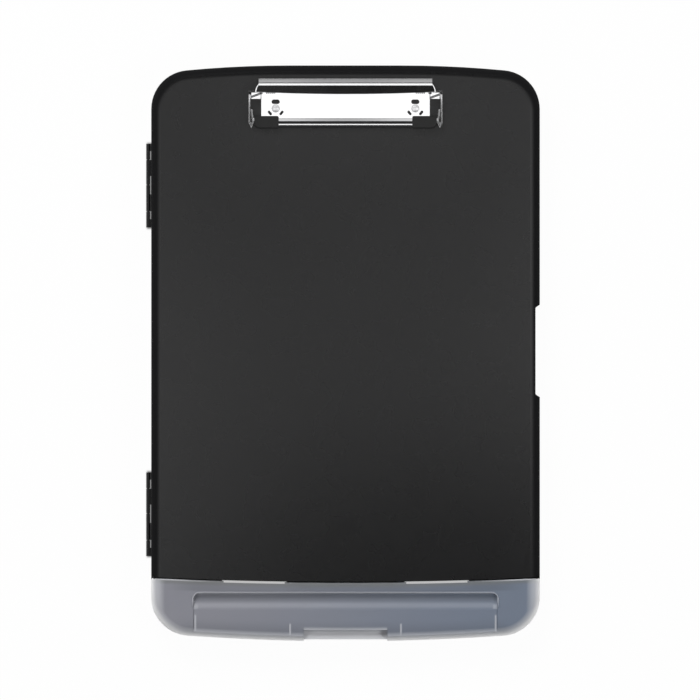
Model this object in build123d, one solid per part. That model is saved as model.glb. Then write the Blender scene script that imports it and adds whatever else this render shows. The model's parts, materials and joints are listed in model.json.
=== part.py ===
from build123d import *
from math import cos, pi, radians, sin, tan
import os

# Storage clipboard box, lying on its back. X points right, Y towards the clip, Z up from the back face.
# The origin is the centre of the back face. All sizes are millimetres and degrees.

# ---- body outline
WIDTH = 240.0             # side to side
LENGTH = 355.6            # end to end, over the bowed ends
END_BOW_R = 1383.0        # radius of the bowed lower end
TOP_FLAT = 35.0           # half of the straight part of the upper end
TOP_BOW_R = 667.0         # radius of the upper end beside it
CORNER_R = 24.0
EDGE_ROUND = 6.0          # rounding of the upper edge of both lids
FOOT_ROUND = 2.0          # rounding of the tray's lower edge

# ---- tray and board lid
TRAY_DEPTH = 12.5
LID_DEPTH = 9.5
WALL = 1.8
FLOOR = 1.8
LID_SKIN = 1.8            # thickness of the writing board

# ---- seam between the board lid and the pen lid
PEN_END = 36.8            # from the lower end to the lowest point of the board's edge
SEAM_BOW_R = 2570.0
SEAM_GAP = 0.5
SEAM_LIP = 1.0            # overhang of the board past its wall and the partition

# ---- finger recess in the right side
RECESS_Y = 1.5
RECESS_LENGTH = 53.5
RECESS_DEPTH = 2.7
RECESS_SLANT = 1.8        # how far each end leans out over the depth
RECESS_ROUND = 1.2

# ---- closing tongue of the board lid, inside the finger recess
TONGUE_LENGTH = 24.0
TONGUE_THICK = 1.6
TONGUE_REACH = 3.8        # below the tray's rim
TONGUE_ROOT = 4.0         # above the tray's rim
SLIDE_CLEAR = 0.3         # between pieces that pass each other

# ---- side hinges of the board lid
HINGE_FROM_TOP = 74.2     # from the upper end to the middle of the upper hinge
HINGE_FROM_LOW = 78.4     # from the lower end to the middle of the lower hinge
HINGE_OFFSET = 1.95       # axis outside the body's side
KNUCKLE_R = 1.2
ARM_HEIGHT = 2.8
KNUCKLE_GAP = 0.3
LID_PIN_R = 0.7
KNUCKLES = (              # owner, barrel length, arm length, arm at the barrel's start or end
    ("tray", 9.7, 4.5, "start"),
    ("lid", 15.2, 9.9, "start"),
    ("tray", 16.2, 10.5, "end"),
    ("lid", 9.7, 5.2, "end"),
)

# ---- fits
PRESSED = 0.02            # radial, pin held by its knuckle
RUNNING = 0.06            # radial, knuckle turning on its pin

# ---- pen lid
PEN_SKIN = 1.5
PEN_WALL = 1.5
PEN_EDGE_ROUND = 1.2      # at the seam
PANEL_MARGIN = 26.0       # from the body's side to the sunken panel
PANEL_DROP = 6.9          # from the seam to the panel
PANEL_DEPTH = 0.8
PANEL_CORNER = 4.0
TROUGH_WIDTH = 10.1       # pen trough along the panel's upper edge
TROUGH_MARGIN = 0.4
TROUGH_STEP = 1.2         # upright wall of the trough under the panel's upper edge
TROUGH_DEPTH = 1.6
TROUGH_DEEPEST = 2.7      # from the trough's upper edge to its deepest line
TROUGH_TURN = 7.2         # from the trough's upper edge to where its rise starts to ease
TROUGH_TURN_DEPTH = 0.63
TROUGH_FALL = 15.0        # slope at the upper edge
TROUGH_END = 3.0          # slope at the lower edge
SLOT_MIDDLE = 56.4        # light slots at the seam
SLOT_SPAN = 37.8
SLOT_DROP = 1.6           # from the board's edge to the slot's lower edge
BEAD_WIDTH = 0.9          # raised bead round the panel's upper end
BEAD_HEIGHT = 0.25
BEAD_ROUND = 0.22
BEAD_REACH = 9.0          # of the bead down the panel's sides

# ---- pull tab of the pen lid, over a scoop in the tray
TAB_HALF = 25.8
TAB_ROOT = 7.0            # from the lower end
TAB_TIP = 1.2             # from the lower end
TAB_TOP = 5.0             # below the top of the body
TAB_THICK = 1.5
RIB_SIDE = 8.4            # from the tab to the rib beside it
RIB_THICK = 0.8
RIB_REACH = 10.4          # from the lower end
END_RIB_SIDE = 1.3        # from the panel's end to the rib inside it
END_RIB_REACH = 13.2
RIB_CLEAR = 0.6           # above the tray's rim

# ---- pen lid hinges
PEN_AXIS_BACK = 5.8       # axis behind the pen lid's edge at the middle
PEN_AXIS_DROP = 3.6       # axis below the top of the body
PEN_PIN_R = 0.9
PEN_KNUCKLE_R = 1.85
PEN_KNUCKLE_SIDE = 9.0    # from the panel to the middle of the knuckle
PEN_KNUCKLE_LENGTH = 6.0
PEN_EAR_THICK = 3.0
PEN_EAR_FOOT = 4.5
PEN_EAR_LEAN = 30.0       # of the foot's back, where it meets the eye
CHEEK_CLEAR = 0.3         # round the lid's cheeks, which turn in the tray's side walls

# ---- windows in the tray's floor under the light slots
WINDOW_MARGIN = 1.0
WINDOW_SET = 0.4          # from the board's edge to the window's upper edge
WINDOW_DROP = 5.4         # below the seam

# ---- clip: base plate
PIVOT_FROM_TOP = 15.8     # from the body's upper end to the rod
PIVOT_RISE = 2.9          # above the board
PLATE_THICK = 0.8
PLATE_HALF = 52.0
PLATE_FORE = 21.8         # from the rod to the plate's lower edge
PLATE_REAR = 3.5          # from the rod to the plate's upper edge
PLATE_CORNER = 1.5
PLATE_EAR_R = 2.0
ROD_R = 0.95
ROD_END = 0.8             # of the rod outside the jaw's sides

# ---- clip: rivets
RIVET_SIDE = 8.9          # from the plate's end
RIVET_FORE = 10.8         # from the rod
RIVET_HEAD_R = 2.5
RIVET_HEAD_HEIGHT = 0.8
RIVET_SHANK_R = 1.6
RIVET_TAIL_R = 2.3
RIVET_TAIL_HEIGHT = 0.7
WASHER_R = 4.0
WASHER_THICK = 0.8
SLOT_RISE = 4.1           # oval hole above each rivet
SLOT_LENGTH = 5.0
SLOT_WIDTH = 2.7
CLAW_SIDE = 3.6           # stamped nicks beside each rivet
CLAW_DROP = 2.8
CLAW_LENGTH = 3.1
CLAW_WIDTH = 1.5
CLAW_ANGLE = 50.0

# ---- clip: jaw, with distances along Y from the rod and heights from the board
SHEET = 0.8
BEND = 0.4                # of the inner corner of a bend past the outer one
WEB_FORE = 2.0            # lower edge of the web at the middle
WEB_RISE = 5.9
WEB_BOW = 1.4             # the web's lower edge draws back by this much towards its ends
WEB_SLOPE = 20.0
CREST_REAR = 3.5          # flat crest along the web's upper edge
CREST_WIDTH = 0.8
CREST_STEP = 0.3
GROOVE_WIDTH = 0.9        # between the crest and the rolled edge
GROOVE_DEPTH = 0.5
ROLL_DROP = 0.35          # of the rolled edge below the crest
ROLL_WIDTH = 2.2
ROLL_FALL = 5.0           # slope of its top
ROLL_DEPTH = 1.6
NECK_BULGE = 0.35         # of the web's curved ends beyond a straight line
NECK_RIM = 0.6
NECK_OVER = 2.2           # lower end of the neck past the crest's end
ROLL_OVER_SIDE = 0.4      # past the jaw's sides
EAR_FORE = 5.0
EAR_REAR = 1.1            # rear end of the ear's flat top
EAR_END = 0.1
EAR_RISE = 5.5
EAR_THICK = 1.4
EAR_SLOPE = 30.0          # of the ear's rear end and of its fold towards the arm
EAR_FOLD = 1.7            # from the fold to the arm's outer face
EAR_GROOVE_FORE = 3.0
EAR_GROOVE_WIDTH = 1.3
EAR_GROOVE_DEPTH = 0.45
EAR_GROOVE_ANGLE = 20.0
JAW_SIDE_FORE = 2.1
JAW_SIDE_REAR = 3.6

# ---- clip: side arms, each a wall that turns back at a pointed tip
ARM_STEP = 3.6            # from the jaw's side to the tip's inner corner
ARM_WIDTH = 3.0
ARM_WALL = 0.8
ARM_FORE = 22.9
ARM_REAR = 2.3
TIP_LENGTH = 3.3
TURNED_LENGTH = 11.4      # of the turned-back wall, from the tip
TURNED_LEAN = 0.8
ARM_TIP_RISE = 4.6
ARM_BOTTOM_RISE = 1.1

# ---- clip: clamp bar
BAR_WIDTH = 6.1
BAR_TOP_RISE = 4.3
BAR_FRONT = 1.7           # from the bar's lower edge to its crest
BAR_CREST = 0.8
BAR_STEP = 1.0            # from the crest down to the flange behind it
BAR_FLANGE = 1.9
BAR_FALL = 5.0            # slope of the flange
BAR_CREST_ROUND = 0.3

# ---- clip: rubber grips
GRIP_LENGTH = 15.2
GRIP_MARGIN_FORE = 0.2    # past the bar
GRIP_MARGIN_REAR = 1.3
GRIP_HEIGHT = 4.2
GRIP_ROUND = 1.0
GRIP_TOP_ROUND = 0.8
GRIP_CORNER_R = 3.5       # outer lower corner

# ---- clip: springs
WIRE_R = 0.35
COIL_R = 1.5
COIL_PITCH = 1.2
COIL_TURNS = 4
COIL_SIDE = 8.5           # from the plate's end to the coil's start
LEG_LENGTH = 3.2
LEG_LIFT = 28.0           # slope of the upper leg

# ---- places that follow from the sizes
BODY_TOP = TRAY_DEPTH + LID_DEPTH
LOW_END = -LENGTH / 2
SEAM_Y = LOW_END + PEN_END
HINGE_X = -WIDTH / 2 - HINGE_OFFSET
HINGE_LENGTH = sum(barrel for _, barrel, _, _ in KNUCKLES) + KNUCKLE_GAP * (len(KNUCKLES) - 1)
HINGE_CENTRES = {"upper": LENGTH / 2 - HINGE_FROM_TOP, "lower": LOW_END + HINGE_FROM_LOW}
PANEL_HALF = WIDTH / 2 - PANEL_MARGIN
PEN_KNUCKLE_X = PANEL_HALF + PEN_KNUCKLE_SIDE
PEN_AXIS_Y = SEAM_Y - SEAM_GAP - PEN_AXIS_BACK
PEN_AXIS_Z = BODY_TOP - PEN_AXIS_DROP
CHEEK_REACH = PEN_AXIS_BACK + (WIDTH / 2) ** 2 / (2 * SEAM_BOW_R)
CHEEK_R = (CHEEK_REACH**2 + PEN_AXIS_DROP**2) ** 0.5
PLATE_TOP = BODY_TOP + PLATE_THICK
PIVOT_Y = LENGTH / 2 - PIVOT_FROM_TOP
PIVOT_Z = BODY_TOP + PIVOT_RISE
RIVET_X = PLATE_HALF - RIVET_SIDE
RIVET_Y = PIVOT_Y - RIVET_FORE
JAW_SIDE_X = PLATE_HALF + SLIDE_CLEAR
CREST_HALF = JAW_SIDE_X + SHEET + ROLL_OVER_SIDE
NECK_HALF = CREST_HALF + NECK_OVER
CREST_RISE = WEB_RISE + (WEB_FORE + CREST_REAR) * tan(radians(WEB_SLOPE)) + CREST_STEP
ROLL_REAR = CREST_REAR + CREST_WIDTH + GROOVE_WIDTH
ARM_IN = JAW_SIDE_X + SHEET + ARM_STEP
ARM_OUT = ARM_IN + ARM_WIDTH
ARM_TIP_Y = PIVOT_Y - ARM_FORE
BAR_LOW_Y = ARM_TIP_Y
BAR_HIGH_Y = BAR_LOW_Y + BAR_WIDTH
GRIP_OUT = ARM_IN - SLIDE_CLEAR
SIDES = {"left": -1, "right": 1}


def block(x, y, z):
    """A box from its lowest and highest x, y and z."""
    size = [high - low for low, high in (x, y, z)]
    centre = [(high + low) / 2 for low, high in (x, y, z)]
    return Pos(*centre) * Box(*size)


def prism(face, low, high):
    """A flat face drawn at z = 0, raised from z = low to z = high."""
    return Pos(0, 0, low) * extrude(face, high - low)


def side_prism(face, low, high):
    """A face drawn in the plane of Y and Z, drawn out from x = low to x = high."""
    return Pos(low, 0, 0) * extrude(Plane.YZ * face, high - low)


def polygon(*points):
    return make_face(Polyline(*points, close=True))


def x_rod(radius, y, z, low, high):
    """A round bar along X."""
    return side_prism(Pos(y, z) * Circle(radius), low, high)


def outline(inset=0.0):
    """The body seen from above, drawn in by inset all round."""
    upper = Pos(0, LENGTH / 2 - inset) * Rectangle(2 * TOP_FLAT, TOP_BOW_R, align=(Align.CENTER, Align.MAX))
    for side in SIDES.values():
        upper += Pos(side * TOP_FLAT, LENGTH / 2 - TOP_BOW_R) * Circle(TOP_BOW_R - inset)
    face = Rectangle(WIDTH - 2 * inset, LENGTH + CORNER_R) & upper
    face &= Pos(0, END_BOW_R - LENGTH / 2) * Circle(END_BOW_R - inset)
    corners = face.vertices().filter_by(lambda corner: abs(corner.X) > WIDTH / 2 - CORNER_R)
    return fillet(corners, CORNER_R - inset)


def above_seam(shift=0.0):
    """All that lies above the seam, with the seam moved down by shift."""
    return Pos(0, SEAM_Y + SEAM_BOW_R) * Circle(SEAM_BOW_R + shift)


def finger_recess(grow=0.0):
    """The recess in the right side, seen from above, grown by grow for the inside of its wall."""
    inner = WIDTH / 2 - RECESS_DEPTH - grow
    outer = WIDTH / 2 + RECESS_DEPTH
    lean = RECESS_SLANT * (outer - inner) / RECESS_DEPTH
    low = RECESS_Y - RECESS_LENGTH / 2 - grow
    high = RECESS_Y + RECESS_LENGTH / 2 + grow
    face = polygon((inner, low), (outer, low - lean), (outer, high + lean), (inner, high))
    return fillet(face.vertices().group_by(Axis.X)[0], RECESS_ROUND)


def tab_scoop(grow=0.0):
    """The scoop in the front, under the pull tab, seen from above."""
    face = Rectangle(2 * (TAB_HALF + grow), LENGTH / 2, align=(Align.CENTER, Align.MAX))
    return Pos(0, LOW_END + TAB_ROOT + grow) * face


def knuckles(owner, centre):
    """The tray's or the lid's half of a side hinge, with the pin's hole through it."""
    side = -1 if owner == "tray" else 1
    bore = LID_PIN_R + (PRESSED if owner == "tray" else RUNNING)
    section = polygon(
        (HINGE_X, TRAY_DEPTH),
        (HINGE_X, TRAY_DEPTH + side * KNUCKLE_R),
        (-WIDTH / 2 + WALL / 2, TRAY_DEPTH + side * ARM_HEIGHT),
        (-WIDTH / 2 + WALL / 2, TRAY_DEPTH),
    )
    top = centre + HINGE_LENGTH / 2
    made = []
    for name, barrel, arm, end in KNUCKLES:
        low = top - barrel
        if name == owner:
            arm_top = top if end == "start" else low + arm
            tube = Pos(HINGE_X, 0, TRAY_DEPTH) * extrude(Plane.XZ * Circle(KNUCKLE_R), -barrel)
            strap = extrude(Plane.XZ * section, -arm)
            made += [Pos(0, low, 0) * tube + Pos(0, arm_top - arm, 0) * strap]
        top = low - KNUCKLE_GAP
    hole = Pos(HINGE_X, centre, TRAY_DEPTH) * Rot(90, 0, 0) * Cylinder(bore, 2 * HINGE_LENGTH)
    return [piece - hole for piece in made]


def lid_pin(centre):
    pin = Rot(90, 0, 0) * Cylinder(LID_PIN_R, HINGE_LENGTH)
    return Pos(HINGE_X, centre, TRAY_DEPTH) * pin


def light_slot(side, grow=0.0):
    """The lowest and highest x of the left or right light slot."""
    half = SLOT_SPAN / 2 + grow
    return side * SLOT_MIDDLE - half, side * SLOT_MIDDLE + half


def cheeks(depth, clear=0.0):
    """The round cheeks at the pen lid's two sides, about its axis, that deep from the body's sides."""
    discs = x_rod(CHEEK_R + clear, PEN_AXIS_Y, PEN_AXIS_Z, -WIDTH, WIDTH)
    return discs & prism(outline(-clear) - Rectangle(WIDTH - 2 * depth, LENGTH), 0, BODY_TOP)


def pen_ear_profile():
    """One of the tray's ears for the pen lid, in the plane of Y and Z."""
    lean = radians(PEN_EAR_LEAN)
    foot = polygon(
        (PEN_AXIS_Y - PEN_EAR_FOOT, FLOOR / 2),
        (PEN_AXIS_Y - PEN_PIN_R / 2, FLOOR / 2),
        (PEN_AXIS_Y + PEN_KNUCKLE_R * sin(lean), PEN_AXIS_Z - PEN_KNUCKLE_R * cos(lean)),
        (PEN_AXIS_Y - PEN_KNUCKLE_R, PEN_AXIS_Z),
    )
    eye = Pos(PEN_AXIS_Y, PEN_AXIS_Z) * Circle(PEN_KNUCKLE_R)
    return foot + eye - Pos(PEN_AXIS_Y, PEN_AXIS_Z) * Circle(PEN_PIN_R + PRESSED)


def base_tray():
    tray = extrude(outline(), TRAY_DEPTH)
    tray = fillet(tray.edges().group_by(Axis.Z)[0], FOOT_ROUND)
    documents = (outline(WALL) & above_seam(-SEAM_LIP - WALL)) - finger_recess(WALL)
    pens = outline(WALL) - above_seam(-SEAM_LIP) - tab_scoop(WALL)
    for room in (documents, pens):
        tray -= prism(room, FLOOR, TRAY_DEPTH)
    for notch in (finger_recess(), tab_scoop()):
        tray -= prism(notch, 0, TRAY_DEPTH)
    tray -= cheeks(WALL, CHEEK_CLEAR)
    ear_step = (PEN_KNUCKLE_LENGTH + PEN_EAR_THICK) / 2 + SLIDE_CLEAR
    for side in SIDES.values():
        window = block(light_slot(side, WINDOW_MARGIN), (SEAM_Y - WINDOW_DROP, 0), (0, FLOOR))
        tray -= window - prism(above_seam(WINDOW_SET), 0, FLOOR)
        for step in (-ear_step, ear_step):
            middle = side * PEN_KNUCKLE_X + step
            tray += side_prism(pen_ear_profile(), middle - PEN_EAR_THICK / 2, middle + PEN_EAR_THICK / 2)
    for centre in HINGE_CENTRES.values():
        for knuckle in knuckles("tray", centre):
            tray += knuckle
    return tray


def closing_tongue():
    """The tongue that reaches from the lid's wall into the tray, behind the finger recess."""
    wall_face = WIDTH / 2 - RECESS_DEPTH - WALL
    inner = wall_face - SLIDE_CLEAR - TONGUE_THICK
    span = (RECESS_Y - TONGUE_LENGTH / 2, RECESS_Y + TONGUE_LENGTH / 2)
    top = TRAY_DEPTH + TONGUE_ROOT
    tongue = block((inner, wall_face - SLIDE_CLEAR), span, (TRAY_DEPTH - TONGUE_REACH, top))
    root = block((inner, wall_face + WALL / 2), span, (TRAY_DEPTH + SLIDE_CLEAR, top))
    return tongue + root


def rivet_points():
    return [(side * RIVET_X, RIVET_Y) for side in SIDES.values()]


def clipboard_lid():
    lid = prism(outline() & above_seam(), TRAY_DEPTH, BODY_TOP)
    lid = fillet(lid.edges().group_by(Axis.Z)[-1].sort_by(Axis.Y)[1:], EDGE_ROUND)
    room = outline(WALL) & above_seam(-SEAM_LIP - WALL)
    room = prism(room, TRAY_DEPTH, BODY_TOP - LID_SKIN)
    room = fillet(room.edges().group_by(Axis.Z)[-1].sort_by(Axis.Y)[1:], EDGE_ROUND - WALL)
    lid -= room - prism(finger_recess(WALL), TRAY_DEPTH, BODY_TOP)
    lid -= prism(outline(-WALL) - above_seam(-SEAM_LIP), TRAY_DEPTH, BODY_TOP - LID_SKIN)
    lid -= prism(finger_recess(), TRAY_DEPTH, BODY_TOP)
    for x, y in rivet_points():
        lid -= Pos(x, y, BODY_TOP) * Cylinder(RIVET_SHANK_R + PRESSED, 3 * LID_SKIN)
    lid += closing_tongue()
    for centre in HINGE_CENTRES.values():
        for knuckle in knuckles("lid", centre):
            lid += knuckle
    return lid


def panel(grow=0.0):
    """The sunken panel of the pen lid, seen from above, grown by grow for its underside."""
    face = Rectangle(2 * (PANEL_HALF + grow), LENGTH / 2, align=(Align.CENTER, Align.MAX))
    face = Pos(0, SEAM_Y - PANEL_DROP + grow) * face
    return fillet(face.vertices().group_by(Axis.Y)[-1], PANEL_CORNER + grow)


def trough(grow=0.0):
    """The pen trough in the panel, steepest below its middle and lowered by grow for its underside."""
    top = BODY_TOP - PANEL_DEPTH - grow
    upper = SEAM_Y - PANEL_DROP - TROUGH_MARGIN
    curve = Spline(
        (upper, top - TROUGH_STEP),
        (upper - TROUGH_DEEPEST, top - TROUGH_DEPTH),
        (upper - TROUGH_TURN, top - TROUGH_TURN_DEPTH),
        (upper - TROUGH_WIDTH, top),
        tangents=[(-1, -tan(radians(TROUGH_FALL))), (-1, tan(radians(TROUGH_END)))],
    )
    close = Polyline(
        (upper - TROUGH_WIDTH, top),
        (upper - TROUGH_WIDTH, BODY_TOP),
        (upper, BODY_TOP),
        (upper, top - TROUGH_STEP),
    )
    half = PANEL_HALF - TROUGH_MARGIN + grow
    made = side_prism(make_face([curve, close]), -half, half)
    if grow:
        made += block((-half, half), (upper, upper + grow), (top - TROUGH_STEP, BODY_TOP))
    return made


def pen_room():
    """The hollow under the pen lid, open towards the seam."""
    ceiling = BODY_TOP - PEN_SKIN
    room = prism(outline(PEN_WALL) - above_seam(-CORNER_R), TRAY_DEPTH, ceiling)
    room = fillet(room.edges().group_by(Axis.Z)[-1].sort_by(Axis.Y)[:-1], EDGE_ROUND - PEN_WALL)
    room -= prism(panel(PEN_SKIN), ceiling - PANEL_DEPTH, BODY_TOP)
    room -= trough(PEN_SKIN)
    room -= prism(tab_scoop(PEN_WALL), TRAY_DEPTH, BODY_TOP)
    return room


def panel_bead():
    """The raised bead that follows the panel's upper edge and turns down its sides."""
    low = SEAM_Y - PANEL_DROP - BEAD_REACH
    face = (panel(BEAD_WIDTH) - panel()) & Pos(0, low) * Rectangle(WIDTH, LENGTH, align=(Align.CENTER, Align.MIN))
    bead = prism(face, BODY_TOP - PANEL_DEPTH, BODY_TOP + BEAD_HEIGHT)
    return fillet(bead.edges().group_by(Axis.Z)[-1], BEAD_ROUND)


def rib(x, reach):
    """A rib under the skin, from the lower end."""
    span = (LOW_END, LOW_END + reach)
    top = BODY_TOP - PANEL_DEPTH - PEN_SKIN / 2
    return block((x - RIB_THICK / 2, x + RIB_THICK / 2), span, (TRAY_DEPTH + RIB_CLEAR, top))


def pen_lid():
    shell = prism(outline() - above_seam(SEAM_GAP), TRAY_DEPTH, BODY_TOP)
    shell = fillet(shell.edges().group_by(Axis.Z)[-1].sort_by(Axis.Y)[:-1], EDGE_ROUND)
    shell = fillet(shell.edges().group_by(Axis.Z)[-1].sort_by(Axis.Y)[-1], PEN_EDGE_ROUND)
    lid = shell - pen_room()
    lid -= prism(panel(), BODY_TOP - PANEL_DEPTH, BODY_TOP)
    lid -= trough() & prism(panel(), TRAY_DEPTH, BODY_TOP)
    tab_top = BODY_TOP - TAB_TOP
    front = (-LENGTH, LOW_END + TAB_ROOT)
    lid -= block((-TAB_HALF, TAB_HALF), front, (tab_top, BODY_TOP))
    lid -= block((-TAB_HALF, TAB_HALF), front, (TRAY_DEPTH, tab_top - TAB_THICK))
    lid -= block((-TAB_HALF, TAB_HALF), (-LENGTH, LOW_END + TAB_TIP), (TRAY_DEPTH, BODY_TOP))
    behind_axis = block((-WIDTH, WIDTH), (PEN_AXIS_Y, 0), (0, BODY_TOP - PEN_SKIN - PEN_EDGE_ROUND / 2))
    lid -= behind_axis - cheeks(PEN_WALL)
    low_cheeks = cheeks(PEN_WALL) & block((-WIDTH, WIDTH), (-LENGTH, 0), (0, TRAY_DEPTH))
    lid += low_cheeks - prism(above_seam(SEAM_GAP), 0, BODY_TOP)
    lid += panel_bead()
    stem = block(
        (-PEN_KNUCKLE_LENGTH / 2, PEN_KNUCKLE_LENGTH / 2),
        (PEN_AXIS_Y - PEN_KNUCKLE_R, PEN_AXIS_Y + PEN_KNUCKLE_R),
        (PEN_AXIS_Z, BODY_TOP - PEN_SKIN / 2),
    )
    half = PEN_KNUCKLE_LENGTH / 2
    stem += x_rod(PEN_KNUCKLE_R, PEN_AXIS_Y, PEN_AXIS_Z, -half, half)
    stem -= x_rod(PEN_PIN_R + RUNNING, PEN_AXIS_Y, PEN_AXIS_Z, -WIDTH, WIDTH)
    for side in SIDES.values():
        slot = block(light_slot(side), (SEAM_Y - SEAM_LIP - SLOT_DROP, 0), (TRAY_DEPTH, BODY_TOP))
        lid -= slot & prism(above_seam(SLOT_DROP), TRAY_DEPTH, BODY_TOP)
        lid += Pos(side * PEN_KNUCKLE_X, 0, 0) * stem
        lid += rib(side * (TAB_HALF + RIB_SIDE), RIB_REACH) & shell
        lid += rib(side * (PANEL_HALF - END_RIB_SIDE), END_RIB_REACH) & shell
    return lid


def pen_pin(side):
    half = PEN_KNUCKLE_LENGTH / 2 + SLIDE_CLEAR + PEN_EAR_THICK
    middle = side * PEN_KNUCKLE_X
    return x_rod(PEN_PIN_R, PEN_AXIS_Y, PEN_AXIS_Z, middle - half, middle + half)


def clip_base_plate():
    face = Rectangle(2 * PLATE_HALF, PLATE_FORE + PLATE_REAR)
    face = Pos(0, PIVOT_Y + (PLATE_REAR - PLATE_FORE) / 2) * face
    face = fillet(face.vertices(), PLATE_CORNER)
    for x, y in rivet_points():
        face -= Pos(x, y) * Circle(RIVET_SHANK_R + PRESSED)
        face -= Pos(x, y + SLOT_RISE) * SlotOverall(SLOT_LENGTH, SLOT_WIDTH)
        for side in SIDES.values():
            claw = Rot(0, 0, side * CLAW_ANGLE) * SlotOverall(CLAW_LENGTH, CLAW_WIDTH)
            face -= Pos(x + side * CLAW_SIDE, y - CLAW_DROP) * claw
    plate = prism(face, BODY_TOP, PLATE_TOP)
    ear = Pos(PIVOT_Y, PIVOT_Z) * Circle(PLATE_EAR_R)
    ear += Pos(PIVOT_Y, (PIVOT_Z + BODY_TOP) / 2) * Rectangle(2 * PLATE_EAR_R, PIVOT_RISE)
    ear -= Pos(PIVOT_Y, PIVOT_Z) * Circle(ROD_R + PRESSED)
    for low in (-PLATE_HALF, PLATE_HALF - PLATE_THICK):
        plate += side_prism(ear, low, low + PLATE_THICK)
    return plate


def clip_pivot_rod():
    half = JAW_SIDE_X + SHEET + ROD_END
    return x_rod(ROD_R, PIVOT_Y, PIVOT_Z, -half, half)


def from_rod(*points):
    """A face in the plane of Y and Z, from distances along Y from the rod and heights above the board."""
    return polygon(*[(PIVOT_Y + y, BODY_TOP + rise) for y, rise in points])


def web_profile():
    """The sloping web, its crest and the rolled edge behind it, in the plane of Y and Z."""
    crest_end = CREST_REAR + CREST_WIDTH
    roll_top = CREST_RISE - ROLL_DROP
    roll_end = ROLL_REAR + ROLL_WIDTH
    fall = ROLL_WIDTH * tan(radians(ROLL_FALL))
    under = roll_top - SHEET
    face = from_rod(
        (-WEB_FORE, WEB_RISE),
        (CREST_REAR - CREST_STEP, CREST_RISE - CREST_STEP),
        (CREST_REAR, CREST_RISE),
        (crest_end, CREST_RISE),
        (crest_end + GROOVE_WIDTH / 2, CREST_RISE - GROOVE_DEPTH),
        (ROLL_REAR, roll_top),
        (roll_end, roll_top - fall),
        (roll_end, roll_top - ROLL_DEPTH),
        (roll_end - SHEET, roll_top - ROLL_DEPTH),
        (roll_end - SHEET, under - fall),
        (CREST_REAR, CREST_RISE - CREST_STEP - SHEET - BEND),
        (-WEB_FORE, WEB_RISE - SHEET),
    )
    rear = face.vertices().group_by(Axis.X)[-1].sort_by(Axis.Y)[-1]
    return fillet(rear, SHEET / 2)


def web_plan():
    """The web and the rolled edge seen from above, with bowed lower edge and rounded necks."""
    rear_y = PIVOT_Y + ROLL_REAR + ROLL_WIDTH
    crest_y = PIVOT_Y + CREST_REAR + CREST_WIDTH
    end_y = PIVOT_Y - WEB_FORE + WEB_BOW
    middle_x = (CREST_HALF + NECK_HALF) / 2 + NECK_BULGE
    middle_y = (crest_y + end_y) / 2 + NECK_BULGE
    edges = [Line((-CREST_HALF, rear_y), (CREST_HALF, rear_y))]
    for side in SIDES.values():
        edges += [
            Line((side * CREST_HALF, rear_y), (side * CREST_HALF, crest_y)),
            ThreePointArc((side * CREST_HALF, crest_y), (side * middle_x, middle_y), (side * NECK_HALF, end_y)),
        ]
    edges += [ThreePointArc((-NECK_HALF, end_y), (0, PIVOT_Y - WEB_FORE), (NECK_HALF, end_y))]
    return make_face(edges)


def neck_rims():
    """The upright rims along the web's curved ends, as high as the crest."""
    low_y = PIVOT_Y - WEB_FORE + WEB_BOW
    crest_y = PIVOT_Y + CREST_REAR
    neck = Pos(0, (low_y + crest_y) / 2) * Rectangle(2 * NECK_HALF, crest_y - low_y)
    plan = web_plan()
    inner = Pos(-NECK_RIM, 0) * plan & Pos(NECK_RIM, 0) * plan
    return prism((plan - inner) & neck, BODY_TOP + WEB_RISE - SHEET, BODY_TOP + CREST_RISE)


def bar_profile():
    """The formed sheet of the clamp bar, in the plane of Y and Z."""
    crest_end = BAR_FRONT + BAR_CREST
    flange_start = BAR_WIDTH - BAR_FLANGE
    flange_top = BAR_TOP_RISE - BAR_STEP
    fall = BAR_FLANGE * tan(radians(BAR_FALL))
    upper = [
        (0, ARM_BOTTOM_RISE),
        (BAR_FRONT, BAR_TOP_RISE),
        (crest_end, BAR_TOP_RISE),
        (flange_start, flange_top),
        (BAR_WIDTH, flange_top - fall),
    ]
    under = [
        (BAR_WIDTH, flange_top - fall - SHEET),
        (flange_start - BEND, flange_top - SHEET),
        (crest_end - BEND / 2, BAR_TOP_RISE - SHEET),
        (BAR_FRONT + BEND, BAR_TOP_RISE - SHEET),
        (SHEET, ARM_BOTTOM_RISE),
    ]
    face = from_rod(*[(y - ARM_FORE, rise) for y, rise in upper + under])
    return fillet(face.vertices().group_by(Axis.Y)[-1], BAR_CREST_ROUND)


def clip_bar():
    """The clamp bar, narrowed at both ends, where the grips round their corners."""
    bar = side_prism(bar_profile(), -ARM_IN - ARM_WALL, ARM_IN + ARM_WALL)
    for side in SIDES.values():
        low, high = sorted((side * (GRIP_OUT - GRIP_CORNER_R), side * ARM_OUT))
        bar -= block((low, high), (BAR_LOW_Y, BAR_LOW_Y + TIP_LENGTH), (BODY_TOP, 2 * BODY_TOP))
    return bar


def arm_plan():
    """The right arm seen from above: the outer wall, the pointed tip and the wall turned back from it."""
    bend_y = ARM_TIP_Y + TIP_LENGTH
    turned_y = ARM_TIP_Y + TURNED_LENGTH
    ear_y = PIVOT_Y - ARM_REAR
    tip_x = (ARM_IN + ARM_OUT) / 2
    core = ARM_OUT - ARM_WALL
    face = polygon(
        (ARM_OUT, ear_y),
        (ARM_OUT, bend_y),
        (tip_x, ARM_TIP_Y),
        (ARM_IN, bend_y),
        (ARM_IN + TURNED_LEAN, turned_y),
        (core, turned_y),
        (core, ear_y),
    )
    groove = polygon(
        (core, turned_y),
        (core, bend_y + ARM_WALL),
        (tip_x, ARM_TIP_Y + TIP_LENGTH - ARM_WALL / 2),
        (ARM_IN + ARM_WALL, bend_y + ARM_WALL),
        (core - ARM_WALL / 2, turned_y),
    )
    return face - groove


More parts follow.
